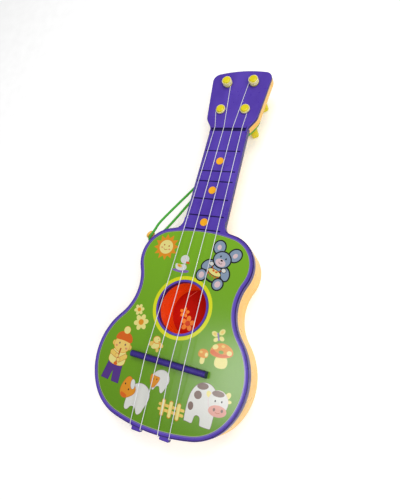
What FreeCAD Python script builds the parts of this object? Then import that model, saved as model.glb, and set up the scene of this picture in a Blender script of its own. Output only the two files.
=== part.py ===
import FreeCAD, Part
import math
import os

# Toy guitar with four nylon strings, lying on its back.
# X to the right, +Y towards the headstock, +Z out of the front, millimetres.
# The origin is in the middle of the length and width, on the plane of the back.

V = FreeCAD.Vector
WIDE = 100.0                    # cutting boxes reach this far to each side
LONG = 250.0                    # and this far along

# ---- driving dimensions ----
RIM_Z = 39.0                    # top of the rim bead, and of the neck and headstock
SEAM_Z = 32.0                   # where the front shell meets the back shell
PLATE_Z = 38.0                  # top of the front plate, under the printed panel
PLATE_UNDER_Z = 36.0
LEDGE_Z = 37.6                  # step between the bead and the side flange
WALL = 2.2
FLOOR = 2.5

# body outline: five arcs a side, given by circles that touch each other
TAIL_Y = -198.0
TAIL_RADIUS = 187.7
CORNER_CENTRE = V(30.5, -144.5, 0)
SIDE_RADIUS = 61.8
SIDE_START_ANGLE = math.radians(-33.2)
WAIST_RADIUS = 47.2
SHOULDER_CENTRE = V(29.7, -31.1, 0)
SHOULDER_RADIUS = 33.8
BODY_TOP_Y = 6.3

LEDGE_INSET = 1.0
LEDGE_END_Y = 4.5
TOP_ROUNDING = 0.9
PANEL_INSET = 4.3
PANEL_THICK = 0.4
BACK_EDGE_RADIUS = 4.2
BACK_TAPER = 1.2

HOLE = V(0, -79.0, 0)
HOLE_RADIUS = 26.0
COLLAR_RADIUS = 28.2
COLLAR_LOW_Z = 33.0
PANEL_HOLE_RADIUS = 28.4
CUP_RADIUS = 25.7
CUP_WALL = 1.5
CUP_FLOOR = 1.5
PICTURE_THICK = 0.3

# neck and headstock
NECK_HALF_BODY = 24.0
NECK_HALF_NUT = 22.4
NECK_OVERLAP = 15.0             # how far the neck's outline runs into the body's
NECK_ROOT_RADIUS = 10.0
NECK_BACK_HALF = 21.0
NECK_BACK_DEPTH = 10.6
NECK_END_Y = 128.0
NECK_END_RUN = 10.0             # length of the slope where the neck's back meets the headstock
NECK_END_DROP = 4.0
BEVEL_START_Y = 16.0
BEVEL_LENGTH = 104.0
BEVEL_HALF = 30.0
BEVEL_DROP = 6.0
NUT_Y = 126.3
NUT_TOP_Z = 40.3
NUT_HALF = 21.0
NUT_THICK = 2.8
NUT_GROOVE_WIDTH = 3.4          # the groove along the nut's tail side
NUT_ROUNDING = 0.5
NUT_SLOT_HALF = 0.7
HEAD_START_Y = 126.0
HEAD_LOW_HALF = 30.0
HEAD_LOW_Y = 137.0
HEAD_TOP_HALF = 36.4
HEAD_CORNER_Y = 196.5
HEAD_TOP_Y = 201.0
HEAD_PLATE_UNDER_Z = 35.8
HEAD_BACK_Z = 27.0
HEAD_START_ROUNDING = 8.0
HEAD_LOW_ROUNDING = 14.0
HEAD_TOP_ROUNDING = 9.0
HEAD_BACK_ROUNDING = 1.5
HEAD_FLOOR = 2.0
FRET_YS = [96.5, 71.8, 59.6, 38.9, 19.7, 4.0]
FRET_HALF = 20.6
FRET_WIDTH = 1.1
FRET_DEPTH = 0.6
DOT_YS = [84.0, 49.0, 12.2]
DOT_RADIUS = 4.3
DOT_HIGH = 0.7
DOT_ROUNDING = 0.5
DOT_STEM_RADIUS = 1.5
DOT_STEM_Z = 37.2

# tuning pegs: 1 and 4 on the lower row, 2 and 3 on the upper row, with longer posts
PEG_CENTRES = [V(-15.0, 148.6, 0), V(-14.8, 183.6, 0), V(17.1, 183.6, 0), V(14.2, 148.6, 0)]
POST_TOP_ZS = [43.5, 47.5, 47.5, 43.5]
PEG_TURNS = [35.0, 70.0, -57.0, -64.0]  # degrees, how each paddle happens to stand
PEG_RADIUS = 4.7
PEG_RUNNING_GAP = 0.05
PEG_SHOULDER_RADIUS = 6.0
PEG_SHOULDER_TOP_Z = 26.6
POST_ROUNDING = 1.8
PADDLE_HALF = 14.3
PADDLE_THICK = 8.4
PADDLE_LOW_Z = 0.4
PADDLE_HIGH_Z = 14.4
PADDLE_CORNER = 4.2
PADDLE_ROUNDING = 2.6
WRAP_ZS = [39.55, 40.5, 40.5, 39.55]    # middle of the turns of string on each post

# bridge
BRIDGE_CENTRE = V(2.5, -134.0, 0)
BRIDGE_LENGTH = 81.0
BRIDGE_WIDTH = 6.4
BRIDGE_FOOT_Z = 38.45
BRIDGE_TOP_Z = 46.6
BRIDGE_TILT = -0.8
BRIDGE_SLOT_Z = 45.1
BRIDGE_SLOT_WIDTH = 1.9

# strings: one line for each pair, looped under its lug at the tail
STRING_RADIUS = 0.35
STRING_GAP = 0.3                # between a string and the peg that turns beside it
STRING_END_ANGLES = [200.0, -45.0, 180.0, -60.0]    # where each string meets its post, in degrees
STRING_NUT_Z = 40.15
STRING_BRIDGE_Z = 46.2
STRING_RIM_Z = 39.35
STRING_LOOP_Z = 30.8
NUT_XS = [16.3, 5.4]            # outer string, inner string
BRIDGE_XS = [21.2, 7.2]
TAIL_XS = [21.2, 9.4]
TAIL_STRING_YS = [-197.5, -198.4]
STRING_BEND = 3.0
LUG_BEND = 1.2
NOTCH_HALF = 0.8
NOTCH_DEPTH = 0.3

LUG_CENTRE_X = 15.3
LUG_HALF = 5.0
LUG_END_Y = -201.0
LUG_LOW_Z = 32.0
LUG_HIGH_Z = 36.5
LUG_ROOT_Y = -194.0
LUG_ROUNDING = 1.2

# screws from the back, all of one diameter in two lengths
SCREW_RADIUS = 1.5
SCREW_HEAD_RADIUS = 2.9
SCREW_HEAD_HIGH = 2.0
SCREW_HEAD_ROUNDING = 0.8
SCREW_CROSS_HALF = 1.7
SCREW_CROSS_SLOT = 0.35
SCREW_CROSS_DEPTH = 1.0
COUNTERBORE_RADIUS = 3.1
POST_RADIUS = 4.4               # posts in the back shell, which the screw heads press on
POST_GRIP = 4.0
BOSS_RADIUS = 3.8               # bosses in the front shell, which the screws bite into
NECK_SPLIT_Z = 29.0
PILOT_RADIUS = 1.5
SCREW_HOLE_RADIUS = 1.6
PILOT_SPARE = 0.5
LONG_SHANK = 14.0
SHORT_SHANK = 9.5
BODY_SCREWS = [V(-52, -172, 14), V(52, -172, 14), V(-46, -72, 14),
               V(46, -72, 14), V(-40, -20, 14), V(40, -20, 14)]
NECK_SCREWS = [V(0, 30, 25.2), V(0, 104, 25.2), V(0, 145, 28.6), V(0, 193, 28.6)]

# strap button on the left shoulder, strap eye behind the headstock
BUTTON_ANGLE = math.radians(144.7)
BUTTON_Z = 27.0
BUTTON_POST_RADIUS = 2.5
BUTTON_POST_LENGTH = 9.5
BUTTON_ROOT_DEPTH = 1.2
BUTTON_FLANGE_RADIUS = 5.0
BUTTON_FLANGE_THICK = 3.0
BUTTON_ROUNDING = 0.9
EYE = V(21.0, 160.0, 21.0)
EYE_BAR = 2.4
EYE_HALF = 7.0
EYE_BEND = 1.5
KNOT_RADIUS = 4.2

# strap cord: from the knot, under the neck, round the button and back
CORD_DIAMETER = 3.0
CORD_BEND_FACTOR = 0.45
CORD_ROUTE = [V(22.4, 157.6, 19.9), V(25.4, 150.5, 19.4), V(25.6, 143.5, 19.0), V(21.5, 137.0, 18.0),
              V(14.0, 128.8, 16.4), V(-1.5, 109.5, 14.0), V(-18.3, 86.3, 13.0), V(-32.7, 63.9, 14.8),
              V(-45.0, 41.1, 19.2), V(-53.5, 22.8, 24.3), V(-59.2, 8.8, 28.6), V(-60.0, 0.5, 31.0),
              V(-64.6, -12.3, 31.9), V(-64.6, -12.3, 22.1), V(-54.6, 3.2, 20.4), V(-48.6, 15.0, 18.3),
              V(-41.2, 31.0, 15.8), V(-31.0, 52.0, 13.8), V(-17.1, 77.8, 13.4), V(-2.3, 102.6, 14.5),
              V(10.5, 122.3, 17.8), V(18.6, 131.8, 20.6), V(23.8, 140.6, 22.4), V(24.9, 149.8, 23.2),
              V(22.0, 157.4, 22.5)]


# ---- small helpers ----
def export(name, shape):
    shape.exportStep("parts/" + name + ".step")
    print(name, "valid", shape.isValid(), "solids", len(shape.Solids), "volume %.1f" % shape.Volume)


def cylinder(radius, low, high, centre):
    return Part.makeCylinder(radius, high - low, V(centre.x, centre.y, low))


def box(x0, x1, y0, y1, z0, z1):
    return Part.makeBox(x1 - x0, y1 - y0, z1 - z0, V(x0, y0, z0))


def prism(wire, low, high):
    face = Part.Face(wire)
    face.translate(V(0, 0, low - wire.BoundBox.ZMin))
    return face.extrude(V(0, 0, high - low))


def offset(wire, distance):
    return wire.makeOffset2D(distance)


def unit(vector):
    return vector * (1.0 / vector.Length)


def mirrored(vector):
    return V(-vector.x, vector.y, vector.z)


def arc(centre, radius, start, end, outward=1):
    middle = unit((start - centre) + (end - centre)) * (radius * outward)
    return Part.Arc(start, centre + middle, end).toShape()


def is_upright(edge):
    ends = [vertex.Point for vertex in edge.Vertexes]
    if len(ends) != 2:
        return False
    return math.hypot(ends[0].x - ends[1].x, ends[0].y - ends[1].y) < 0.001


def edges_at(shape, test):
    return [edge for edge in shape.Edges if test(edge)]


def round_edges(shape):
    return edges_at(shape, lambda e: isinstance(e.Curve, Part.Circle))


def uprights_near(shape, y, within=1.0):
    return edges_at(shape, lambda e: is_upright(e) and abs(e.BoundBox.Center.y - y) < within)


# ---- a round bar along straight runs joined by tangent arcs ----
def bend_radii(points, factor):
    radii = []
    for i in range(1, len(points) - 1):
        before = points[i] - points[i - 1]
        after = points[i + 1] - points[i]
        turn = before.getAngle(after)
        radii.append(factor * min(before.Length, after.Length) / math.tan(turn / 2))
    return radii


def bent_path(points, radii):
    edges = []
    start = points[0]
    for i, radius in enumerate(radii, 1):
        inward = unit(points[i - 1] - points[i])
        onward = unit(points[i + 1] - points[i])
        turn = math.pi - inward.getAngle(onward)
        reach = radius * math.tan(turn / 2)
        enter = points[i] + inward * reach
        leave = points[i] + onward * reach
        depth = radius * (1 / math.cos(turn / 2) - 1)
        middle = points[i] + unit(inward + onward) * depth
        edges.append(Part.LineSegment(start, enter).toShape())
        edges.append(Part.Arc(enter, middle, leave).toShape())
        start = leave
    edges.append(Part.LineSegment(start, points[-1]).toShape())
    return Part.Wire(edges)


def round_bar(points, radii, radius):
    path = bent_path(points, radii)
    circle = Part.Circle(points[0], points[1] - points[0], radius).toShape()
    bar = path.makePipeShell([Part.Wire(circle)], True, False)
    expected = math.pi * radius * radius * path.Length
    print("bar length %.1f, volume %.1f, section x length %.1f" % (path.Length, bar.Volume, expected))
    return bar


# ---- outlines ----
def body_wire():
    tail = V(0, TAIL_Y + TAIL_RADIUS, 0)
    corner_radius = TAIL_RADIUS - (CORNER_CENTRE - tail).Length
    towards_side = V(math.cos(SIDE_START_ANGLE), math.sin(SIDE_START_ANGLE), 0)
    side = CORNER_CENTRE - towards_side * (SIDE_RADIUS - corner_radius)

    span = SHOULDER_CENTRE - side
    along = unit(span)
    to_waist = SIDE_RADIUS + WAIST_RADIUS
    from_waist = SHOULDER_RADIUS + WAIST_RADIUS
    foot = (to_waist ** 2 - from_waist ** 2 + span.Length ** 2) / (2 * span.Length)
    height = math.sqrt(to_waist ** 2 - foot ** 2)
    waist = side + along * foot + V(along.y, -along.x, 0) * height

    rise = BODY_TOP_Y - SHOULDER_CENTRE.y
    squares = SHOULDER_CENTRE.x ** 2 + rise ** 2 - SHOULDER_RADIUS ** 2
    top_radius = squares / (2 * (rise - SHOULDER_RADIUS))
    top = V(0, BODY_TOP_Y - top_radius, 0)

    tail_end = tail + unit(CORNER_CENTRE - tail) * TAIL_RADIUS
    corner_end = CORNER_CENTRE + towards_side * corner_radius
    side_end = side + unit(waist - side) * SIDE_RADIUS
    waist_end = SHOULDER_CENTRE + unit(waist - SHOULDER_CENTRE) * SHOULDER_RADIUS
    shoulder_end = top + unit(SHOULDER_CENTRE - top) * top_radius

    right = [arc(CORNER_CENTRE, corner_radius, tail_end, corner_end),
             arc(side, SIDE_RADIUS, corner_end, side_end),
             arc(waist, WAIST_RADIUS, side_end, waist_end),
             arc(SHOULDER_CENTRE, SHOULDER_RADIUS, waist_end, shoulder_end)]
    left = [arc(mirrored(SHOULDER_CENTRE), SHOULDER_RADIUS, mirrored(shoulder_end), mirrored(waist_end)),
            arc(mirrored(waist), WAIST_RADIUS, mirrored(waist_end), mirrored(side_end)),
            arc(mirrored(side), SIDE_RADIUS, mirrored(side_end), mirrored(corner_end)),
            arc(mirrored(CORNER_CENTRE), corner_radius, mirrored(corner_end), mirrored(tail_end))]
    top_arc = arc(top, top_radius, shoulder_end, mirrored(shoulder_end))
    tail_arc = arc(tail, TAIL_RADIUS, mirrored(tail_end), tail_end)
    return Part.Wire(right + [top_arc] + left + [tail_arc])


def head_blank(low, high):
    right = [V(NECK_HALF_NUT, HEAD_START_Y, 0), V(HEAD_LOW_HALF, HEAD_LOW_Y, 0),
             V(HEAD_TOP_HALF, HEAD_CORNER_Y, 0)]
    left = [mirrored(point) for point in reversed(right)]
    lines = [Part.LineSegment(a, b).toShape() for a, b in zip(right, right[1:])]
    top = Part.Arc(right[-1], V(0, HEAD_TOP_Y, 0), left[0]).toShape()
    lines_left = [Part.LineSegment(a, b).toShape() for a, b in zip(left, left[1:])]
    base = Part.LineSegment(left[-1], right[0]).toShape()
    blank = prism(Part.Wire(lines + [top] + lines_left + [base]), low, high)
    blank = blank.makeFillet(HEAD_LOW_ROUNDING, uprights_near(blank, HEAD_LOW_Y))
    return blank.makeFillet(HEAD_TOP_ROUNDING, uprights_near(blank, HEAD_CORNER_Y))


def neck_blank(low, high):
    corners = [V(NECK_HALF_BODY, BODY_TOP_Y - NECK_OVERLAP, 0), V(NECK_HALF_NUT, HEAD_START_Y, 0)]
    ring = corners + [mirrored(point) for point in reversed(corners)]
    return prism(Part.makePolygon(ring + ring[:1]), low, high)


def whole_outline():
    blank = prism(body_wire(), 0, 1).fuse([neck_blank(0, 1), head_blank(0, 1)]).removeSplitter()
    blank = blank.makeFillet(NECK_ROOT_RADIUS, uprights_near(blank, BODY_TOP_Y, within=6.0))
    blank = blank.makeFillet(HEAD_START_ROUNDING, uprights_near(blank, HEAD_START_Y))
    base = min(blank.Faces, key=lambda face: face.BoundBox.ZMax)
    return base.OuterWire


# ---- front shell ----
def front_skin(outline):
    skin = prism(outline, SEAM_Z, RIM_Z)
    inset = prism(offset(outline, -LEDGE_INSET), LEDGE_Z, RIM_Z)
    ledge = prism(outline, LEDGE_Z, RIM_Z).cut(inset)
    skin = skin.cut(ledge.common(box(-WIDE, WIDE, -LONG, LEDGE_END_Y, SEAM_Z, RIM_Z)))
    hollow = prism(offset(outline, -WALL), SEAM_Z, PLATE_UNDER_Z)
    skin = skin.cut(hollow)
    skin = skin.cut(box(-WIDE, WIDE, HEAD_START_Y, LONG, SEAM_Z, HEAD_PLATE_UNDER_Z))
    skin = skin.cut(prism(offset(body_wire(), -PANEL_INSET), PLATE_Z, RIM_Z))
    return skin


def soften_top(skin):
    outer = edges_at(skin, lambda e: e.BoundBox.ZMin > RIM_Z - 0.001 and not inside_panel_edge(e))
    return skin.makeFillet(TOP_ROUNDING, outer)


def inside_panel_edge(edge):
    panel = Part.Face(offset(body_wire(), -PANEL_INSET + 0.3))
    point = edge.valueAt((edge.FirstParameter + edge.LastParameter) / 2)
    return panel.isInside(V(point.x, point.y, 0), 0.01, True)


def neck_bevels():
    cutters = []
    for side in (-1, 1):
        profile = [V(side * FRET_HALF, BEVEL_START_Y, RIM_Z + 0.01),
                   V(side * BEVEL_HALF, BEVEL_START_Y, RIM_Z + 0.01),
                   V(side * BEVEL_HALF, BEVEL_START_Y, RIM_Z - BEVEL_DROP)]
        face = Part.Face(Part.makePolygon(profile + profile[:1]))
        cutters.append(face.extrude(V(0, BEVEL_LENGTH, 0)))
    return cutters


def fret_grooves():
    low = RIM_Z - FRET_DEPTH
    half_wide = FRET_WIDTH / 2
    grooves = [box(-FRET_HALF, FRET_HALF, y - half_wide, y + half_wide, low, RIM_Z + 1) for y in FRET_YS]
    nut_edge = NUT_Y - NUT_THICK / 2
    return grooves + [box(-FRET_HALF, FRET_HALF, nut_edge - NUT_GROOVE_WIDTH, nut_edge, low, RIM_Z + 1)]


def front_nut():
    y0 = NUT_Y - NUT_THICK / 2
    y1 = NUT_Y + NUT_THICK / 2
    nut = box(-NUT_HALF, NUT_HALF, y0, y1, RIM_Z - 0.5, NUT_TOP_Z)
    nut = nut.makeFillet(NUT_ROUNDING, edges_at(nut, lambda e: e.BoundBox.ZMin > NUT_TOP_Z - 0.01))
    slot_floor = STRING_NUT_Z - STRING_RADIUS - 0.05
    xs = [side * x for x in NUT_XS for side in (-1, 1)]
    return nut.cut([box(x - NUT_SLOT_HALF, x + NUT_SLOT_HALF, y0 - 1, y1 + 1, slot_floor, NUT_TOP_Z + 1)
                    for x in xs])


def tail_lug(side):
    x = side * LUG_CENTRE_X
    lug = box(x - LUG_HALF, x + LUG_HALF, LUG_END_Y, LUG_ROOT_Y, LUG_LOW_Z, LUG_HIGH_Z)
    outer = edges_at(lug, lambda e: abs(e.BoundBox.YMax - LUG_END_Y) < 0.01)
    return lug.makeFillet(LUG_ROUNDING, outer)


def front_shell(outline):
    shell = soften_top(front_skin(outline))
    shell = shell.cut(neck_bevels() + fret_grooves())
    collar = cylinder(COLLAR_RADIUS, COLLAR_LOW_Z, RIM_Z - 0.1, HOLE)
    shell = shell.fuse([collar, front_nut(), tail_lug(-1), tail_lug(1)])
    bosses = [cylinder(BOSS_RADIUS, screw.z + POST_GRIP, PLATE_UNDER_Z + 1, screw) for screw in BODY_SCREWS]
    bosses += [cylinder(BOSS_RADIUS, NECK_SPLIT_Z, PLATE_UNDER_Z + 1, screw) for screw in NECK_SCREWS[:2]]
    shell = shell.fuse(bosses)
    return shell.cut(front_holes()).removeSplitter()


def front_holes():
    above = RIM_Z + 1
    holes = [cylinder(HOLE_RADIUS, SEAM_Z, above, HOLE)]
    holes += [cylinder(PEG_RADIUS + PEG_RUNNING_GAP, SEAM_Z, above, peg) for peg in PEG_CENTRES]
    holes += [cylinder(PILOT_RADIUS, 0, s.z + LONG_SHANK + PILOT_SPARE, s) for s in BODY_SCREWS]
    holes += [cylinder(PILOT_RADIUS, 0, s.z + SHORT_SHANK + PILOT_SPARE / 2, s) for s in NECK_SCREWS]
    holes += [cylinder(DOT_STEM_RADIUS, DOT_STEM_Z - PILOT_SPARE, above, V(0, y, 0)) for y in DOT_YS]
    for x in [side * x for x in TAIL_XS for side in (-1, 1)]:
        holes.append(box(x - NOTCH_HALF, x + NOTCH_HALF, LUG_END_Y, TAIL_Y + 6, RIM_Z - NOTCH_DEPTH, above))
    return holes


# ---- back shell ----
def tapered_body():
    top = body_wire()
    top.translate(V(0, 0, SEAM_Z))
    bottom = offset(body_wire(), -BACK_TAPER)
    solid = Part.makeLoft([bottom, top], True, True)
    rim = edges_at(solid, lambda e: e.BoundBox.ZMax < 0.01)
    return solid.makeFillet(BACK_EDGE_RADIUS, rim)


def tapered_hollow():
    top = offset(body_wire(), -WALL)
    top.translate(V(0, 0, SEAM_Z))
    bottom = offset(body_wire(), -BACK_TAPER - WALL)
    bottom.translate(V(0, 0, FLOOR))
    solid = Part.makeLoft([bottom, top], True, True)
    rim = edges_at(solid, lambda e: e.BoundBox.ZMax < FLOOR + 0.01)
    return solid.makeFillet(BACK_EDGE_RADIUS - WALL, rim)


def half_round_bar(half, depth, y0, y1):
    ellipse = Part.Ellipse(V(0, y0, SEAM_Z), half, depth).toShape()
    ellipse.rotate(V(0, y0, SEAM_Z), V(1, 0, 0), 90)
    bar = Part.Face(Part.Wire(ellipse)).extrude(V(0, y1 - y0, 0))
    return bar.common(box(-WIDE, WIDE, y0, y1, 0, SEAM_Z))


def sloping_end():
    low = SEAM_Z - NECK_BACK_DEPTH - 1
    high = SEAM_Z - NECK_END_DROP
    profile = [V(-WIDE, NECK_END_Y - NECK_END_RUN, low), V(-WIDE, NECK_END_Y, high),
               V(-WIDE, LONG, high), V(-WIDE, LONG, low)]
    return Part.Face(Part.makePolygon(profile + profile[:1])).extrude(V(2 * WIDE, 0, 0))


def neck_back():
    bar = half_round_bar(NECK_BACK_HALF, NECK_BACK_DEPTH, BODY_TOP_Y - 6, NECK_END_Y)
    hollow_end = NECK_END_Y - NECK_END_RUN - WALL
    hollow = half_round_bar(NECK_BACK_HALF - WALL, NECK_BACK_DEPTH - WALL, BODY_TOP_Y + WALL, hollow_end)
    return bar.cut(sloping_end()), hollow


def head_back():
    block = head_blank(HEAD_BACK_Z, HEAD_PLATE_UNDER_Z)
    under = edges_at(block, lambda e: e.BoundBox.ZMax < HEAD_BACK_Z + 0.01)
    block = block.makeFillet(HEAD_BACK_ROUNDING, under)
    outline = min(head_blank(0, 1).Faces, key=lambda face: face.BoundBox.ZMax).OuterWire
    hollow = prism(offset(outline, -WALL), HEAD_BACK_Z + HEAD_FLOOR, HEAD_PLATE_UNDER_Z)
    return block, hollow


def strap_button():
    outward = V(math.cos(BUTTON_ANGLE), math.sin(BUTTON_ANGLE), 0)
    centre = mirrored(SHOULDER_CENTRE) + V(0, 0, BUTTON_Z)
    root = centre + outward * (SHOULDER_RADIUS - BUTTON_ROOT_DEPTH)
    post_length = BUTTON_ROOT_DEPTH + BUTTON_POST_LENGTH + BUTTON_FLANGE_THICK / 2
    post = Part.makeCylinder(BUTTON_POST_RADIUS, post_length, root, outward)
    flange_root = centre + outward * (SHOULDER_RADIUS + BUTTON_POST_LENGTH)
    flange = Part.makeCylinder(BUTTON_FLANGE_RADIUS, BUTTON_FLANGE_THICK, flange_root, outward)
    flange = flange.makeFillet(BUTTON_ROUNDING, round_edges(flange))
    return post.fuse(flange)


def strap_eye():
    """A staple: a round bar bent down to the headstock's back at both ends."""
    to_leg = V(EYE_HALF - EYE_BAR / 2, 0, 0)
    to_head = V(0, 0, HEAD_BACK_Z + 1 - EYE.z)
    corners = [EYE - to_leg + to_head, EYE - to_leg, EYE + to_leg, EYE + to_leg + to_head]
    return round_bar(corners, [EYE_BEND, EYE_BEND], EYE_BAR / 2)


def back_shell():
    neck, neck_hollow = neck_back()
    head, head_hollow = head_back()
    shell = tapered_body().fuse([neck, head]).removeSplitter()
    shell = shell.cut([tapered_hollow(), neck_hollow, head_hollow])
    shell = shell.fuse(inner_posts() + [strap_button(), strap_eye()])
    holes = [cylinder(PEG_RADIUS + PEG_RUNNING_GAP, HEAD_BACK_Z - 1, RIM_Z, peg) for peg in PEG_CENTRES]
    for screw in BODY_SCREWS + NECK_SCREWS:
        holes.append(cylinder(COUNTERBORE_RADIUS, -1, screw.z, screw))
        holes.append(cylinder(SCREW_HOLE_RADIUS, -1, HEAD_PLATE_UNDER_Z + 0.1, screw))
    return shell.cut(holes).removeSplitter()


def inner_posts():
    in_floor = FLOOR / 2
    neck_floor = SEAM_Z - NECK_BACK_DEPTH + WALL / 2
    head_floor = HEAD_BACK_Z + HEAD_FLOOR / 2
    posts = [cylinder(POST_RADIUS, in_floor, s.z + POST_GRIP, s) for s in BODY_SCREWS]
    posts += [cylinder(POST_RADIUS, neck_floor, NECK_SPLIT_Z, s) for s in NECK_SCREWS[:2]]
    posts += [cylinder(POST_RADIUS, head_floor, HEAD_PLATE_UNDER_Z, s) for s in NECK_SCREWS[2:]]
    return posts + [cylinder(PEG_RADIUS + WALL, head_floor, HEAD_PLATE_UNDER_Z, peg) for peg in PEG_CENTRES]


# ---- pieces between and on the shells ----
def picture_panel():
    panel = prism(offset(body_wire(), -PANEL_INSET - 0.1), PLATE_Z, PLATE_Z + PANEL_THICK)
    return panel.cut(cylinder(PANEL_HOLE_RADIUS, 0, RIM_Z, HOLE))


def sound_cup():
    outer = cylinder(CUP_RADIUS + CUP_WALL, FLOOR, COLLAR_LOW_Z, HOLE)
    inner = cylinder(CUP_RADIUS, FLOOR + CUP_FLOOR, COLLAR_LOW_Z, HOLE)
    return outer.cut(inner)


def cup_picture():
    low = FLOOR + CUP_FLOOR
    return cylinder(CUP_RADIUS - 0.2, low, low + PICTURE_THICK, HOLE)


def fret_dot(y):
    centre = V(0, y, 0)
    disc = cylinder(DOT_RADIUS, RIM_Z, RIM_Z + DOT_HIGH, centre)
    disc = disc.makeFillet(DOT_ROUNDING, edges_at(disc, lambda e: e.BoundBox.ZMin > RIM_Z + DOT_ROUNDING))
    return disc.fuse(cylinder(DOT_STEM_RADIUS, DOT_STEM_Z, RIM_Z, centre))


def bridge():
    half = BRIDGE_WIDTH / 2
    crown = BRIDGE_TOP_Z - half
    corners = [V(0, -half, crown), V(0, -half, BRIDGE_FOOT_Z), V(0, half, BRIDGE_FOOT_Z), V(0, half, crown)]
    sides = [Part.LineSegment(a, b).toShape() for a, b in zip(corners, corners[1:])]
    dome = Part.Arc(corners[-1], V(0, 0, BRIDGE_TOP_Z), corners[0]).toShape()
    bar = Part.Face(Part.Wire(sides + [dome])).extrude(V(BRIDGE_LENGTH, 0, 0))
    bar.translate(V(-BRIDGE_LENGTH / 2, 0, 0))
    bar.rotate(V(0, 0, 0), V(0, 0, 1), BRIDGE_TILT)
    bar.translate(V(BRIDGE_CENTRE.x, BRIDGE_CENTRE.y, 0))
    reach = BRIDGE_WIDTH
    slots = [box(x - BRIDGE_SLOT_WIDTH / 2, x + BRIDGE_SLOT_WIDTH / 2, BRIDGE_CENTRE.y - reach,
                 BRIDGE_CENTRE.y + reach, BRIDGE_SLOT_Z, BRIDGE_TOP_Z + 1)
             for x in [side * x for x in BRIDGE_XS for side in (-1, 1)]]
    return bar.cut(slots)


def is_across(edge):
    """True for a paddle's straight edge from one flat face to the other."""
    return edge.BoundBox.XLength < 0.01 and edge.BoundBox.ZLength < 0.01


def tuning_peg(centre, top_z, turn):
    half_thick = PADDLE_THICK / 2
    paddle = box(-PADDLE_HALF, PADDLE_HALF, -half_thick, half_thick, PADDLE_LOW_Z, PADDLE_HIGH_Z)
    corners = edges_at(paddle, lambda e: e.BoundBox.YLength > PADDLE_THICK - 0.01)
    paddle = paddle.makeFillet(PADDLE_CORNER, corners)
    paddle = paddle.makeFillet(PADDLE_ROUNDING, edges_at(paddle, lambda e: not is_across(e)))
    paddle.rotate(V(0, 0, 0), V(0, 0, 1), turn)
    paddle.translate(V(centre.x, centre.y, 0))
    inside_z = PADDLE_HIGH_Z - PADDLE_ROUNDING
    shoulder = cylinder(PEG_SHOULDER_RADIUS, inside_z, PEG_SHOULDER_TOP_Z, centre)
    post = cylinder(PEG_RADIUS, inside_z, top_z, centre)
    post = post.makeFillet(POST_ROUNDING, edges_at(post, lambda e: e.BoundBox.ZMin > top_z - 0.01))
    return paddle.fuse([shoulder, post]).removeSplitter()


def string_wrap(centre, middle_z):
    low = middle_z - STRING_RADIUS
    ring = cylinder(PEG_RADIUS + 2 * STRING_RADIUS, low, low + 2 * STRING_RADIUS, centre)
    ring = ring.makeFillet(STRING_RADIUS * 0.9, round_edges(ring))
    return ring.cut(cylinder(PEG_RADIUS, low - 1, low + 2, centre))


def string_end(number):
    """Where a string stops, a small gap short of the turns on its post."""
    angle = math.radians(STRING_END_ANGLES[number])
    reach = PEG_RADIUS + 3 * STRING_RADIUS + STRING_GAP
    outward = V(math.cos(angle), math.sin(angle), 0)
    return PEG_CENTRES[number] + outward * reach + V(0, 0, WRAP_ZS[number])


def string_route(side, place, number):
    """Post to tail, for the outer (0) or inner (1) string of a pair."""
    return [string_end(number),
            V(side * NUT_XS[place], NUT_Y, STRING_NUT_Z),
            V(side * BRIDGE_XS[place], BRIDGE_CENTRE.y, STRING_BRIDGE_Z),
            V(side * TAIL_XS[place], TAIL_STRING_YS[place], STRING_RIM_Z),
            V(side * TAIL_XS[place], TAIL_STRING_YS[place], STRING_LOOP_Z)]


def string_pair(side, outer, inner):
    points = string_route(side, 0, outer) + string_route(side, 1, inner)[::-1]
    bends = [STRING_BEND, STRING_BEND, LUG_BEND, LUG_BEND]
    return round_bar(points, bends + bends[::-1], STRING_RADIUS)


def screw(place, shank):
    low = place.z - SCREW_HEAD_HIGH
    head = cylinder(SCREW_HEAD_RADIUS, low, place.z, place)
    head = head.makeFillet(SCREW_HEAD_ROUNDING, edges_at(head, lambda e: e.BoundBox.ZMax < low + 0.1))
    body = head.fuse(cylinder(SCREW_RADIUS, place.z, place.z + shank, place))
    cross = [cross_slot(place, low, SCREW_CROSS_HALF, SCREW_CROSS_SLOT),
             cross_slot(place, low, SCREW_CROSS_SLOT, SCREW_CROSS_HALF)]
    return body.cut(cross)


def cross_slot(place, low, half_x, half_y):
    return box(place.x - half_x, place.x + half_x, place.y - half_y, place.y + half_y,
               low - 1, low + SCREW_CROSS_DEPTH)


def strap_knot(cord):
    """A ball round the eye's bar, turned so that its seam is clear of the bar and the cord."""
    knot = Part.makeSphere(KNOT_RADIUS)
    knot.rotate(V(0, 0, 0), V(0, 0, 1), 90)
    knot.translate(EYE)
    return knot.cut([strap_eye(), cord])


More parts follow.
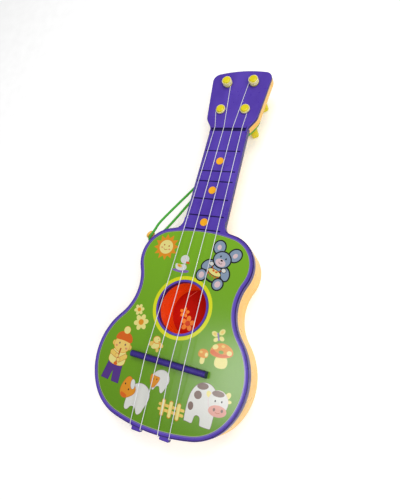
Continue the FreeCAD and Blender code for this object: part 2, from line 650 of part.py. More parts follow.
def main():
    os.makedirs("parts", exist_ok=True)
    export("front_shell", front_shell(whole_outline()))
    export("back_shell", back_shell())
    export("picture_panel", picture_panel())
    export("sound_cup", sound_cup())
    export("cup_picture", cup_picture())
    export("bridge", bridge())
    for number, y in enumerate(DOT_YS, 1):
        export("fret_dot_%d" % number, fret_dot(y))
    for number, centre in enumerate(PEG_CENTRES):
        export("tuning_peg_%d" % (number + 1), tuning_peg(centre, POST_TOP_ZS[number], PEG_TURNS[number]))
        export("string_wrap_%d" % (number + 1), string_wrap(centre, WRAP_ZS[number]))
    export("string_pair_left", string_pair(-1, 0, 1))
    export("string_pair_right", string_pair(1, 3, 2))
    export("body_screws", Part.makeCompound([screw(place, LONG_SHANK) for place in BODY_SCREWS]))
    export("neck_screws", Part.makeCompound([screw(place, SHORT_SHANK) for place in NECK_SCREWS]))
    radii = bend_radii(CORD_ROUTE, CORD_BEND_FACTOR)
    print("cord radii", ["%.1f" % radius for radius in radii])
    cord = round_bar(CORD_ROUTE, radii, CORD_DIAMETER / 2)
    export("strap_cord", cord)
    export("strap_knot", strap_knot(cord))


main()
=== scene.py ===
import math

import bpy
from mathutils import Matrix, Vector


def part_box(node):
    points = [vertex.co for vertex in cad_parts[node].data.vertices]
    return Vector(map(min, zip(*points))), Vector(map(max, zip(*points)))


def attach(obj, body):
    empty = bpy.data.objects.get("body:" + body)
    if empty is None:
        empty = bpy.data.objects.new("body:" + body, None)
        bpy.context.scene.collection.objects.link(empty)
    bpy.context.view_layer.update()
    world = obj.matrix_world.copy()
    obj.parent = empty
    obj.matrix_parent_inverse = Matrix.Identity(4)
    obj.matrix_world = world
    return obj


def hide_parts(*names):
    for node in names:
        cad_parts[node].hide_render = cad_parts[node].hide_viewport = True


# Toy guitar lying on its back. Metres in the model's own frame: +X right, +Y to the headstock, +Z up
# out of the front. Drawings on the picture panel are given in millimetres and scaled by MM.

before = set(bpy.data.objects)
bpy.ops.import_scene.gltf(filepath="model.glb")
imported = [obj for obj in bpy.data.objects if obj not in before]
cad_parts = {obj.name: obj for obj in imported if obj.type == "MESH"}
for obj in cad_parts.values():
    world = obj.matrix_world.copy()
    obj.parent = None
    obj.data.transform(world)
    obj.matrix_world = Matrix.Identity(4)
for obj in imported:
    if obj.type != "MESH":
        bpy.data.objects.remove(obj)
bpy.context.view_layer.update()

MM = 0.001

# ---- camera ----
CAMERA_PLACE = Vector((0.1795, -0.1181, 0.4081))
CAMERA_BACK = Vector((0.41767, -0.23771, 0.87695))
CAMERA_UP = Vector((-0.12849, 0.94002, 0.31601))
CAMERA_LENS = 29.65
CAMERA_SENSOR = 36.0

# ---- strap cord ----
CORD_DIAMETER = 0.003
CORD_ROUTE = [(0.0224, 0.1576, 0.0199), (0.0254, 0.1505, 0.0194), (0.0256, 0.1435, 0.0190),
              (0.0215, 0.1370, 0.0180), (0.0140, 0.1288, 0.0164), (-0.0015, 0.1095, 0.0140),
              (-0.0183, 0.0863, 0.0130), (-0.0327, 0.0639, 0.0148), (-0.0450, 0.0411, 0.0192),
              (-0.0535, 0.0228, 0.0243), (-0.0592, 0.0088, 0.0286), (-0.0600, 0.0005, 0.0310),
              (-0.0646, -0.0123, 0.0319), (-0.0646, -0.0123, 0.0221), (-0.0546, 0.0032, 0.0204),
              (-0.0486, 0.0150, 0.0183), (-0.0412, 0.0310, 0.0158), (-0.0310, 0.0520, 0.0138),
              (-0.0171, 0.0778, 0.0134), (-0.0023, 0.1026, 0.0145), (0.0105, 0.1223, 0.0178),
              (0.0186, 0.1318, 0.0206), (0.0238, 0.1406, 0.0224), (0.0249, 0.1498, 0.0232),
              (0.0220, 0.1574, 0.0225)]
CORD_ROUNDNESS = 20             # points round the braid
BRAID_PITCH = 0.0042
BRAID_STRANDS = 4
BRAID_RELIEF = 0.00014
CORD_RESOLUTION = 48            # points the spline gives for each stretch of the route
EYE = Vector((0.021, 0.160, 0.021))
KNOT_STEPS = 120
KNOT_SHARE = 0.985              # of a full turn, so the two ends don't meet
KNOT_DEPTH = 1.15               # half the knot's size along the eye's bar, in millimetres
KNOT_REACH = 0.86               # the same across the bar, for each unit of the knot's formula
KNOT_CORD_RADIUS = 0.0014

# ---- turns of string on the posts ----
STRING_RADIUS = 0.00035
STRING_TURN_PITCH = 0.00072
STRING_TURN_STEPS = 44
STRING_ROUNDNESS = 10
TURNS_BELOW_TOP = 0.0014
TUCK_DEPTH = 0.0007
TUCK_STEPS = 8

# ---- painted shade in the bridge's slots, in millimetres ----
BRIDGE_MIDDLE = (2.5, -134.0)
BRIDGE_TILT = math.radians(-0.8)
BRIDGE_SLOT_XS = (-21.2, -7.2, 7.2, 21.2)
SLOT_HALF_WIDTH = 0.93
SLOT_HALF_LENGTH = 2.65
SLOT_LOW_Z = 45.08
SLOT_HIGH_Z = 45.14

# ---- painted shade in the neck's grooves, in millimetres ----
FRET_YS = (96.5, 71.8, 59.6, 38.9, 19.7, 4.0)
FRET_WIDTH = 1.5
NUT_LINE_Y = 123.2
NUT_LINE_WIDTH = 3.4
GROOVE_HALF = 20.55
GROOVE_LOW_Z = 38.37
GROOVE_HIGH_Z = 39.03
LINE_GAP = 0.03

# ---- printing ----
INK_STEP = 0.004                # mm between one layer of ink and the next
INK_ROOT = 0.03                 # mm that a layer reaches down into what it is printed on
PANEL_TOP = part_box("picture_panel")[1].z / MM
CUP_FLOOR_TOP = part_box("cup_picture")[1].z / MM
PRINT_GLOSS = 0.5
PRINT_ROUGH = 0.18
PRINT_MOTTLE = 0.03
PRINT_GRAIN_SCALE = 1500
FILM_WAVE_SCALE = 70
FILM_WAVE_STRENGTH = 0.12
FILM_WAVE_DEPTH = 0.0002
RING_RADIUS = 28.5              # yellow ring round the sound hole
RING_WIDTH = 3.7

# ---- painted highlights and painted shade round the body's rim, in millimetres; distances are outwards from the panel's edge ----
BODY_MIDDLE = (0.0, -79.0)
HOLE_CLEAR = 40.0               # the panel's hole lies nearer the middle than this
BEAD_TOP = 39.0
BEAD_NEAR = 0.2
BEAD_FAR = 1.2
TRIM_NEAR = -0.45
TRIM_FAR = -0.02
STEP_Z = 37.6                   # step outside the bead
STEP_NEAR = 3.42
STEP_FAR = 4.0

# ---- moulded plastic ----
MOTTLE = 0.06
GRAIN_STRENGTH = 0.35
GRAIN_DEPTH = 0.00003
SIDE_SHADE_STEEP = 0.45               # upward part of a face's normal where the painted side shade is full
SIDE_SHADE_FLAT = 0.95                # and where it has gone

# ---- floor and room ----
FLOOR_GLOW = 0.22               # a light table: the floor shines a little, which softens its shadows
FLOOR_HALF = 6.0
FLOOR_Z = -0.0002               # a hair under the back, so the two never share a plane
ROOM_GLOW = 0.32

# ---- colours ----
def linear(value):
    value /= 255.0
    return value / 12.92 if value <= 0.04045 else ((value + 0.055) / 1.055) ** 2.4


def colour(rgb):
    return [linear(value) for value in rgb] + [1.0]


# ---- materials ----
class Surface:
    """A principled material with helpers for the nodes that feed it."""

    def __init__(self, name, rough, specular=0.5):
        self.material = bpy.data.materials.new(name)
        self.material.use_nodes = True
        self.tree = self.material.node_tree
        self.shader = self.tree.nodes["Principled BSDF"]
        self.shader.inputs["Roughness"].default_value = rough
        self.shader.inputs["Specular IOR Level"].default_value = specular
        coordinates = self.node("ShaderNodeTexCoord")
        self.place = coordinates.outputs["Object"]
        self.facing = coordinates.outputs["Normal"]

    def node(self, kind, **settings):
        made = self.tree.nodes.new(kind)
        for key, value in settings.items():
            setattr(made, key, value)
        return made

    def link(self, output, target):
        self.tree.links.new(output, target)

    def noise(self, scale, detail=3.0, rough=0.5, stretch=(1, 1, 1)):
        mapping = self.node("ShaderNodeMapping")
        mapping.inputs["Scale"].default_value = stretch
        self.link(self.place, mapping.inputs["Vector"])
        made = self.node("ShaderNodeTexNoise")
        made.inputs["Scale"].default_value = scale
        made.inputs["Detail"].default_value = detail
        made.inputs["Roughness"].default_value = rough
        self.link(mapping.outputs["Vector"], made.inputs["Vector"])
        return made.outputs["Fac"]

    def spread(self, value, from_low, from_high, low, high):
        made = self.node("ShaderNodeMapRange")
        settings = {"From Min": from_low, "From Max": from_high, "To Min": low, "To Max": high}
        for key, number in settings.items():
            made.inputs[key].default_value = number
        self.link(value, made.inputs["Value"])
        return made.outputs["Result"]

    def blend(self, factor, first, second):
        made = self.node("ShaderNodeMix", data_type="RGBA")
        self.link(factor, made.inputs["Factor"])
        for number, tint in ((6, first), (7, second)):
            if isinstance(tint, list):
                made.inputs[number].default_value = tint
            else:
                self.link(tint, made.inputs[number])
        return made.outputs[2]

    def bump(self, height, strength, distance):
        made = self.node("ShaderNodeBump")
        made.inputs["Strength"].default_value = strength
        made.inputs["Distance"].default_value = distance
        self.link(height, made.inputs["Height"])
        self.link(made.outputs["Normal"], self.shader.inputs["Normal"])


def moulded(name, rgb, rough=0.32, specular=0.5, side=None):
    """Moulded plastic: flow mottling, handling marks and a fine grain; side is a painted shade for steep
    faces, darker where they turn from the light.
    """
    made = Surface(name, rough, specular)
    base = colour(rgb)
    dark = [channel * (1 - 2.2 * MOTTLE) for channel in base[:3]] + [1.0]
    pale = [min(1.0, channel * (1 + MOTTLE) + 0.012) for channel in base[:3]] + [1.0]
    flow = made.spread(made.noise(38, 2.0, 0.6, (1, 0.45, 1)), 0.32, 0.68, 0, 1)
    shade = made.blend(flow, dark, pale)
    # painted shade: steep faces blend towards the darker side colour
    if side:
        parts = made.node("ShaderNodeSeparateXYZ")
        made.link(made.facing, parts.inputs["Vector"])
        flatness = made.spread(parts.outputs["Z"], SIDE_SHADE_STEEP, SIDE_SHADE_FLAT, 0, 1)
        shade = made.blend(flatness, colour(side), shade)
    made.link(shade, made.shader.inputs["Base Color"])
    haze = made.spread(made.noise(160, 4.0, 0.65), 0.35, 0.7, rough - 0.06, rough + 0.12)
    made.link(haze, made.shader.inputs["Roughness"])
    made.bump(made.noise(2600, 2.0), GRAIN_STRENGTH, GRAIN_DEPTH)
    return made.material


def painted_glow(material, rgb, strength):
    """Painted light: an even emission that stands in for light coming through a thin or milky material from
    behind.
    """
    shader = material.node_tree.nodes["Principled BSDF"]
    shader.inputs["Emission Color"].default_value = colour(rgb)
    shader.inputs["Emission Strength"].default_value = strength
    return material


def film_waves(made):
    made.bump(made.noise(FILM_WAVE_SCALE, 2.0), FILM_WAVE_STRENGTH, FILM_WAVE_DEPTH)


def printed(name, rgb, rough=PRINT_ROUGH, gloss=PRINT_GLOSS):
    """Ink under a clear gloss film: a faint print grain and a film with slow waves in it."""
    made = Surface(name, rough, gloss)
    base = colour(rgb)
    dark = [channel * (1 - 2 * PRINT_MOTTLE) for channel in base[:3]] + [1.0]
    pale = [min(1.0, channel * (1 + PRINT_MOTTLE) + 0.004) for channel in base[:3]] + [1.0]
    grain = made.spread(made.noise(PRINT_GRAIN_SCALE, 3.0, 0.7), 0.3, 0.7, 0, 1)
    made.link(made.blend(grain, dark, pale), made.shader.inputs["Base Color"])
    film_waves(made)
    return made.material


def panel_green():
    """The panel's green, deeper towards the tail, under the same gloss film as the inks."""
    made = Surface("panel_green", PRINT_ROUGH, PRINT_GLOSS)
    parts = made.node("ShaderNodeSeparateXYZ")
    made.link(made.place, parts.inputs["Vector"])
    along = made.spread(parts.outputs["Y"], -0.195, 0.0, 0, 1)
    shade = made.blend(along, colour((84, 130, 4)), colour((112, 165, 22)))
    grain = made.spread(made.noise(PRINT_GRAIN_SCALE, 3.0, 0.7), 0.3, 0.7, 0.0, 0.2)
    made.link(made.blend(grain, shade, colour((126, 178, 44))), made.shader.inputs["Base Color"])
    film_waves(made)
    return made.material


def nylon():
    made = Surface("nylon", 0.22)
    streak = made.spread(made.noise(420, 2.0, 0.5, (1, 0.08, 1)), 0.35, 0.65, 0, 1)
    tint = made.blend(streak, colour((226, 222, 238)), colour((250, 250, 250)))
    made.link(tint, made.shader.inputs["Base Color"])
    made.shader.inputs["Transmission Weight"].default_value = 0.35
    made.shader.inputs["IOR"].default_value = 1.53
    # painted glow: the strings give off a faint white light
    return painted_glow(made.material, (255, 255, 255), 0.05)


def wound_nylon():
    """Clear line lying in turns, which takes on the colour of the post inside it."""
    made = Surface("wound_nylon", 0.2)
    depth = made.spread(made.noise(900, 2.0), 0.35, 0.65, 0, 1)
    made.link(made.blend(depth, colour((234, 220, 128)), colour((248, 240, 200))),
              made.shader.inputs["Base Color"])
    return made.material


def braid():
    """Polyester braid: painted shade in the grooves and a painted highlight on the ridges, read from the
    relief baked into the mesh, with fine fibres.
    """
    made = Surface("braided_cord", 0.72, 0.3)
    relief = made.node("ShaderNodeAttribute", attribute_name="relief").outputs["Fac"]
    fibres = made.spread(made.noise(5200, 3.0, 0.6), 0.3, 0.7, 0, 1)
    # painted shade in the braid's grooves, painted highlight on its ridges
    shade = made.blend(relief, colour((20, 116, 16)), colour((54, 186, 44)))
    made.link(made.blend(made.spread(fibres, 0, 1, 0, 0.28), shade, colour((128, 205, 104))),
              made.shader.inputs["Base Color"])
    made.shader.inputs["Sheen Weight"].default_value = 0.25
    made.bump(fibres, 0.5, 0.00006)
    return made.material


def zinc():
    made = Surface("zinc_plate", 0.34)
    made.shader.inputs["Metallic"].default_value = 1.0
    cloud = made.spread(made.noise(900, 3.0), 0.3, 0.7, 0, 1)
    made.link(made.blend(cloud, colour((150, 150, 152)), colour((198, 198, 200))),
              made.shader.inputs["Base Color"])
    made.bump(made.noise(3000, 2.0), 0.2, 0.00002)
    return made.material


# Besides the print colours: haze is a painted highlight on the bead, the pale edge colour a painted highlight
# on the panel's edge, and night also painted shade in the rim's step.
INK_AND_PAINTED_LIGHT_COLOURS = {
    "orange": (210, 134, 22), "deep_orange": (202, 92, 12), "rust": (170, 82, 30), "blush": (204, 138, 96),
    "cream": (218, 208, 126), "sand": (218, 186, 88), "skin": (222, 190, 100), "lemon": (206, 208, 10),
    "white": (206, 206, 200), "slate": (126, 144, 166), "rose": (206, 180, 184), "pink": (206, 146, 132),
    "lilac": (124, 98, 170), "violet": (76, 42, 124), "haze": (108, 92, 178), "night": (40, 20, 66),
    "black": (8, 8, 12), "umber": (112, 88, 78), "moss": (104, 150, 34), "edge_highlight_ink": (176, 190, 140),
    "cup_orange": (240, 150, 44), "cup_heart": (206, 74, 20), "cup_line": (240, 130, 110),
}
inks_and_painted_light = {name: printed("ink_" + name, rgb) for name, rgb in INK_AND_PAINTED_LIGHT_COLOURS.items()}


# ---- meshes ----
def new_piece(name, vertices, faces, materials, smooth=True):
    mesh = bpy.data.meshes.new(name)
    mesh.from_pydata([tuple(vertex) for vertex in vertices], [], faces)
    for material in materials:
        mesh.materials.append(material)
    mesh.polygons.foreach_set("use_smooth", [smooth] * len(mesh.polygons))
    mesh.update()
    made = bpy.data.objects.new(name, mesh)
    bpy.context.scene.collection.objects.link(made)
    return made


def tube(name, path, radius_at, sides, material):
    """A closed round tube along path. radius_at(angle, along) gives the radius and relief of each point."""
    path = [Vector(point) for point in path]
    count = len(path)
    tangents = [(path[min(i + 1, count - 1)] - path[max(i - 1, 0)]).normalized() for i in range(count)]
    side = tangents[0].orthogonal().normalized()
    along = 0.0
    vertices = []
    heights = []
    for i, (point, tangent) in enumerate(zip(path, tangents)):
        if i:
            along += (point - path[i - 1]).length
        side = (side - tangent * side.dot(tangent)).normalized()
        other = tangent.cross(side)
        for k in range(sides):
            angle = 2 * math.pi * k / sides
            radius, height = radius_at(angle, along)
            vertices.append(point + (side * math.cos(angle) + other * math.sin(angle)) * radius)
            heights.append(height)
    faces = []
    for i in range(count - 1):
        for k in range(sides):
            k2 = (k + 1) % sides
            faces.append((i * sides + k, i * sides + k2, (i + 1) * sides + k2, (i + 1) * sides + k))
    faces.append(tuple(reversed(range(sides))))
    faces.append(tuple(range((count - 1) * sides, count * sides)))
    made = new_piece(name, vertices, faces, [material])
    attribute = made.data.attributes.new("relief", "FLOAT", "POINT")
    attribute.data.foreach_set("value", heights)
    return made


def plain(radius):
    return lambda angle, along: (radius, 1.0)


def braided(radius):
    """Two families of strands that wind opposite ways, over and under each other."""
    def radius_at(angle, along):
        turn = 2 * math.pi * along / BRAID_PITCH
        weave = math.cos(BRAID_STRANDS * angle + turn) * math.cos(BRAID_STRANDS * angle - turn)
        height = 0.5 + 0.5 * weave
        return radius - BRAID_RELIEF * (1 - height), height
    return radius_at


def spline_points(points, resolution):
    """Points read from the NURBS spline that has these control points."""
    curve = bpy.data.curves.new("route", "CURVE")
    curve.dimensions = "3D"
    curve.resolution_u = resolution
    spline = curve.splines.new("NURBS")
    spline.points.add(len(points) - 1)
    for place, point in zip(spline.points, points):
        place.co = (*point, 1.0)
    spline.order_u = 3
    spline.use_endpoint_u = True
    holder = bpy.data.objects.new("route", curve)
    mesh = bpy.data.meshes.new_from_object(holder)
    found = [vertex.co.copy() for vertex in mesh.vertices]
    bpy.data.objects.remove(holder)
    bpy.data.meshes.remove(mesh)
    return found


# ---- strap ----
def strap():
    cord_material = braid()
    path = spline_points(CORD_ROUTE, CORD_RESOLUTION)
    cord = tube("strap_braid", path, braided(CORD_DIAMETER / 2), CORD_ROUNDNESS, cord_material)
    knot = strap_knot(cord_material)
    for piece, node in ((cord, "strap_cord"), (knot, "strap_knot")):
        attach(piece, "guitar")
        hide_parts(node)


def strap_knot(material):
    """The two ends tied round the eye's bar in one overhand knot."""
    path = []
    for i in range(KNOT_STEPS + 1):
        t = 2 * math.pi * i / KNOT_STEPS * KNOT_SHARE
        swing = Vector((math.sin(t) + 2 * math.sin(2 * t),
                        math.cos(t) - 2 * math.cos(2 * t),
                        -math.sin(3 * t)))
        path.append(EYE + Vector((swing.z * KNOT_DEPTH, swing.x * KNOT_REACH, swing.y * KNOT_REACH)) * MM)
    return tube("strap_tie", path, braided(KNOT_CORD_RADIUS), CORD_ROUNDNESS, material)


# ---- strings ----
def string_turns(number, material):
    """Close turns of string wound up the post, with the end tucked in."""
    low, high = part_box("string_wrap_%d" % number)
    middle = (low + high) / 2
    reach = (high.x - low.x) / 2 - STRING_RADIUS
    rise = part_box("tuning_peg_%d" % number)[1].z - TURNS_BELOW_TOP - middle.z
    steps = round(rise / STRING_TURN_PITCH * STRING_TURN_STEPS)
    path = []
    for i in range(steps + 1):
        angle = 2 * math.pi * i / STRING_TURN_STEPS
        tuck = TUCK_DEPTH * max(0.0, 1 - (steps - i) / TUCK_STEPS)
        path.append(Vector((middle.x + (reach - tuck) * math.cos(angle),
                            middle.y + (reach - tuck) * math.sin(angle),
                            middle.z + rise * i / steps)))
    made = tube("string_turns_%d" % number, path, plain(STRING_RADIUS), STRING_ROUNDNESS, material)
    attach(made, "peg_%d" % number)
    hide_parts("string_wrap_%d" % number)


# ---- outlines for the drawings, in millimetres on the panel ----
def oval(x, y, rx, ry, turn=0.0, points=30):
    lean = math.radians(turn)
    ring = [2 * math.pi * i / points for i in range(points)]
    return [(x + rx * math.cos(a) * math.cos(lean) - ry * math.sin(a) * math.sin(lean),
             y + rx * math.cos(a) * math.sin(lean) + ry * math.sin(a) * math.cos(lean)) for a in ring]


def soft(points, per_span=6):
    """A closed smooth outline guided by a few points."""
    ring = []
    count = len(points)
    for i in range(count):
        a, b, c = (Vector(points[(i + k) % count]) for k in range(3))
        for step in range(per_span):
            t = step / per_span
            ring.append(tuple(a * (0.5 * (1 - t) ** 2) + b * (0.5 + t * (1 - t)) + c * (0.5 * t * t)))
    return ring


def star(x, y, inner, outer, rays, turn=0.0):
    ring = []
    for i in range(2 * rays):
        angle = math.pi * i / rays + math.radians(turn)
        reach = outer if i % 2 else inner
        ring.append((x + reach * math.cos(angle), y + reach * math.sin(angle)))
    return ring


def stroke(start, end, width):
    a, b = Vector(start), Vector(end)
    along = (b - a).normalized() * (width / 2)
    across = Vector((-along.y, along.x))
    corners = [a + across - along * 0.4, a - along, a - across - along * 0.4,
               b - across + along * 0.4, b + along, b + across + along * 0.4]
    return [tuple(corner) for corner in corners]


def arch(x, y, radius, start, end, width, points=12):
    """An open arc drawn as a line of some width."""
    angles = [math.radians(start + (end - start) * i / points) for i in range(points + 1)]
    outer = [(x + (radius + width / 2) * math.cos(a), y + (radius + width / 2) * math.sin(a)) for a in angles]
    inner = [(x + (radius - width / 2) * math.cos(a), y + (radius - width / 2) * math.sin(a)) for a in angles]
    return outer + inner[::-1]


def placed(shapes, x, y, turn=0.0, size=1.0):
    """Drawings made upright round their own origin, put in place on the panel."""
    cos, sin = math.cos(math.radians(turn)) * size, math.sin(math.radians(turn)) * size
    return [(ink, [(x + px * cos - py * sin, y + px * sin + py * cos) for px, py in ring])
            for ink, ring in shapes]


def anticlockwise(ring):
    return sum(a[0] * b[1] - b[0] * a[1] for a, b in zip(ring, ring[1:] + ring[:1])) > 0


def outward(ring, distance):
    """The ring moved out from itself by a distance, point by point."""
    sense = distance if anticlockwise(ring) else -distance
    moved = []
    for i, point in enumerate(ring):
        along = Vector(ring[(i + 1) % len(ring)]) - Vector(ring[i - 1])
        moved.append((point[0] + sense * along.y / along.length, point[1] - sense * along.x / along.length))
    return moved


def outlined(ink, ring, width, line="black"):
    """A shape over a slightly larger copy of itself in the line's colour."""
    return [(line, outward(ring, width)), (ink, ring)]


def drawing(name, shapes, top=PANEL_TOP):
    """Each shape is a thin solid of ink; later ones lie over earlier ones."""
    vertices = []
    faces = []
    names = []
    picked = []
    for layer, (ink, ring) in enumerate(shapes):
        if ink not in names:
            names.append(ink)
        if not anticlockwise(ring):
            ring = ring[::-1]
        count = len(ring)
        first = len(vertices)
        high = top + INK_STEP * (layer + 1)
        vertices += [Vector((x, y, high)) * MM for x, y in ring]
        vertices += [Vector((x, y, top - INK_ROOT)) * MM for x, y in ring]
        faces.append(tuple(range(first, first + count)))
        faces.append(tuple(reversed(range(first + count, first + 2 * count))))
        for i in range(count):
            j = (i + 1) % count
            faces.append((first + i, first + count + i, first + count + j, first + j))
        picked += [names.index(ink)] * (count + 2)
    made = new_piece(name, vertices, faces, [inks_and_painted_light[ink] for ink in names], smooth=False)
    made.data.polygons.foreach_set("material_index", picked)
    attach(made, "guitar")


# ---- the drawings ----
def flower(x, y, reach, petal="cream", heart="orange", petals=6):
    shapes = []
    for i in range(petals):
        angle = 2 * math.pi * i / petals + 0.3
        shapes.append((petal, oval(x + 0.62 * reach * math.cos(angle), y + 0.62 * reach * math.sin(angle),
                                   0.40 * reach, 0.31 * reach, math.degrees(angle))))
    return shapes + [(heart, oval(x, y, 0.36 * reach, 0.36 * reach))]


def sun():
    shapes = [("orange", star(0, 0, 10.0, 14.8, 12)), ("cream", oval(0, 0, 7.9, 7.7))]
    shapes += [("rust", oval(x, 1.6, 0.75, 0.95)) for x in (-2.9, 2.9)]
    shapes += [("blush", oval(x, -1.7, 1.2, 0.8)) for x in (-4.6, 4.6)]
    shapes.append(("rust", arch(0, -0.9, 2.4, 205, 335, 0.55)))
    return placed(shapes, -35.9, -19.6, -8)


def duck():
    shapes = [("lilac", soft([(-9.5, -3.6), (-9.6, -6.0), (0, -7.2), (9.0, -6.2), (9.4, -3.2), (0, -4.4)])),
              ("white", soft([(-8.2, 2.6), (-6.6, -4.2), (2.0, -5.2), (6.6, -2.0), (3.8, 2.8), (-2.0, 1.2)])),
              ("white", oval(1.6, 7.4, 4.8, 4.6)),
              ("sand", oval(-2.6, 0.0, 3.0, 1.8, -20)),
              ("orange", oval(-3.0, 0.0, 1.8, 0.9, -20)),
              ("deep_orange", soft([(3.4, 5.6), (3.6, 3.2), (8.4, 3.0), (7.4, 5.4)])),
              ("black", oval(2.6, 8.6, 0.45, 0.6))]
    return placed(shapes, -12.0, -37.4)


def drummer():
    """A seated mouse of plain ovals, with a drum on its lap."""
    line = 1.5
    shapes = []
    for x, turn in ((-10.4, 25), (10.4, -25)):
        shapes += outlined("slate", oval(x, 20.2, 6.4, 7.2, turn), line)
        shapes.append(("rose", oval(x * 1.02, 20.0, 2.4, 3.0, turn)))
    shapes += outlined("slate", oval(0, -6, 11.5, 10.5), line)
    for x, turn in ((-11.5, -35), (11.5, 35)):
        shapes += outlined("slate", oval(x, -2.5, 4.6, 7.0, turn), line)
    shapes += outlined("slate", oval(0, 9.6, 9.6, 8.4), line)
    shapes.append(("rose", oval(0, 6.0, 6.2, 4.2)))
    shapes += [("black", oval(x, 12.2, 0.85, 1.15)) for x in (-3.4, 3.4)]
    shapes.append(("black", oval(0, 8.6, 1.5, 1.0)))
    shapes.append(("black", arch(0, 7.4, 2.6, 210, 330, 0.5)))
    shell = [(-8.0, -6.0), (-7.4, -14.2), (0, -16.4), (7.4, -14.2), (8.0, -6.0), (0, -5)]
    shapes += outlined("moss", soft(shell), 0.8)
    for i in range(5):
        x = -6.0 + 3.0 * i
        shapes.append(("deep_orange", [(x - 1.9, -7.0), (x, -12.6), (x + 1.9, -7.0)]))
    shapes += outlined("cream", oval(0, -6.2, 8.0, 3.0), 0.7)
    for side in (-1, 1):
        shapes.append(("rust", stroke((side * 7.6, 0.6), (side * 2.0, -5.0), 0.9)))
        shapes.append(("deep_orange", oval(side * 1.8, -5.0, 1.4, 1.1)))
        shapes += outlined("white", oval(side * 8.2, 0.4, 2.5, 2.1), 0.6)
    for x, turn in ((-11.6, 18), (10.4, -14)):
        shapes += outlined("slate", oval(x, -15.4, 5.4, 5.8, turn), line)
        shapes.append(("rose", oval(x, -15.4, 3.2, 3.6, turn)))
    return placed(shapes, 26.8, -33.2, -20, 0.93)


def chick():
    shapes = [("sand", oval(-4.9, -4.6, 3.2, 2.2, 25)), ("sand", oval(5.3, -4.4, 3.4, 2.3, -20)),
              ("orange", oval(0.6, -5.6, 4.4, 3.6)), ("cream", oval(0.4, -5.4, 3.7, 3.0)),
              ("sand", oval(3.0, -9.6, 1.7, 2.0)), ("cream", oval(-2.0, -7.2, 2.6, 1.9)),
              ("orange", oval(0, 0, 4.3, 3.9)), ("cream", oval(0, 0.1, 3.6, 3.2)),
              ("rust", oval(1.3, 0.8, 0.4, 0.5)),
              ("deep_orange", soft([(1.6, -0.9), (4.2, -1.0), (2.2, -1.8)]))]
    return placed(shapes, -17.3, -115.2)


def piper():
    """A small child in a cap, playing a pipe: a plain upright figure, the same on its left and its right."""
    legs = [(-8.4, -18.0), (8.4, -18.0), (10.6, -35.6), (2.2, -35.6), (0, -25.0), (-2.2, -35.6),
            (-10.6, -35.6)]
    shirt = [(-6.4, -4.0), (6.4, -4.0), (9.4, -9.0), (10.0, -20.0), (-10.0, -20.0), (-9.4, -9.0)]
    cap = [(-10.6, 3.8), (-9.4, 10.0), (-4.6, 14.0), (4.6, 14.0), (9.4, 10.0), (10.6, 3.8), (0, 5.4)]
    shapes = outlined("violet", legs, 0.35, "night")
    shapes += outlined("cream", soft(shirt), 0.35, "orange")
    for side in (-1, 1):
        shapes += outlined("skin", oval(side * 9.4, 0.2, 2.0, 2.3), 0.4, "orange")
    shapes += outlined("skin", oval(0, 0.4, 9.4, 7.4), 0.5, "orange")
    shapes += [("rust", stroke((0, -3.6), (0, -18.4), 1.7)), ("deep_orange", oval(0, -18.8, 2.3, 1.7))]
    for side, y in ((-1, -11.2), (1, -14.6)):
        shapes += outlined("sand", stroke((side * 8.4, -9.2), (side * 2.4, y), 4.4), 0.35, "rust")
        shapes += outlined("skin", oval(side * 1.6, y, 2.0, 1.9), 0.3, "rust")
        shapes += [("umber", oval(side * 3.5, 1.4, 0.85, 1.1)), ("blush", oval(side * 6.0, -1.8, 1.4, 1.0))]
    shapes.append(("deep_orange", soft(cap)))
    shapes += outlined("cream", oval(0, 15.8, 3.7, 3.7), 0.35, "orange")
    return placed(shapes, -54.6, -128.8, -5)


def sheep_near():
    body = [(-9.4, 7.2), (0.0, 12.6), (10.2, 9.4), (13.6, 0.6), (9.8, -8.6), (7.6, -15.0), (3.4, -17.0),
            (0.6, -10.6), (-5.0, -10.2), (-7.2, -15.0), (-11.8, -14.6), (-11.4, -3.0)]
    head = [(-14.4, 17.0), (-21.0, 4.8), (-20.0, -3.6), (-13.6, -6.6), (-2.2, 1.4), (-6.4, 9.4)]
    nose = [(-19.4, -0.6), (-18.8, -4.2), (-13.6, -5.8), (-10.8, -3.2), (-15.4, -1.2)]
    shapes = outlined("white", soft(body), 0.35, "umber") + outlined("orange", soft(head), 0.4, "rust")
    shapes += [("deep_orange", soft(nose)),
               ("black", oval(-16.4, 7.2, 0.7, 0.9)), ("black", oval(-11.4, 2.8, 0.7, 0.9))]
    shapes += outlined("white", oval(-8.2, 8.6, 2.4, 4.6, 12), 0.3, "umber")
    return placed(shapes, -22.0, -170.2)


def sheep_far():
    body = [(-9.0, 4.6), (-2.6, 9.4), (5.8, 8.6), (9.8, 1.2), (7.0, -6.0), (4.6, -11.6), (2.0, -11.4),
            (0.4, -5.8), (-3.4, -6.4), (-5.2, -11.0), (-7.6, -10.4), (-7.6, -2.4)]
    head = [(-11.4, 4.0), (-11.0, -3.8), (-6.6, -10.4), (-2.4, -4.0), (-0.6, 2.0), (-6.4, 1.6)]
    shapes = outlined("white", soft(body), 0.3, "umber") + outlined("orange", soft(head), 0.3, "rust")
    shapes += [("black", oval(-8.2, -1.2, 0.5, 0.7)), ("black", oval(-4.2, -0.6, 0.5, 0.7))]
    return placed(shapes, -2.2, -150.2)


def fence():
    shapes = [("sand", stroke((3.2, y), (28.0, y), 2.6)) for y in (-170.6, -175.0)]
    for x in (6.6, 14.6, 22.8):
        shapes.append(("orange", stroke((x, -167.0), (x + 0.5, -179.0), 3.9)))
        shapes.append(("cream", stroke((x, -167.4), (x + 0.5, -178.6), 3.1)))
    return shapes


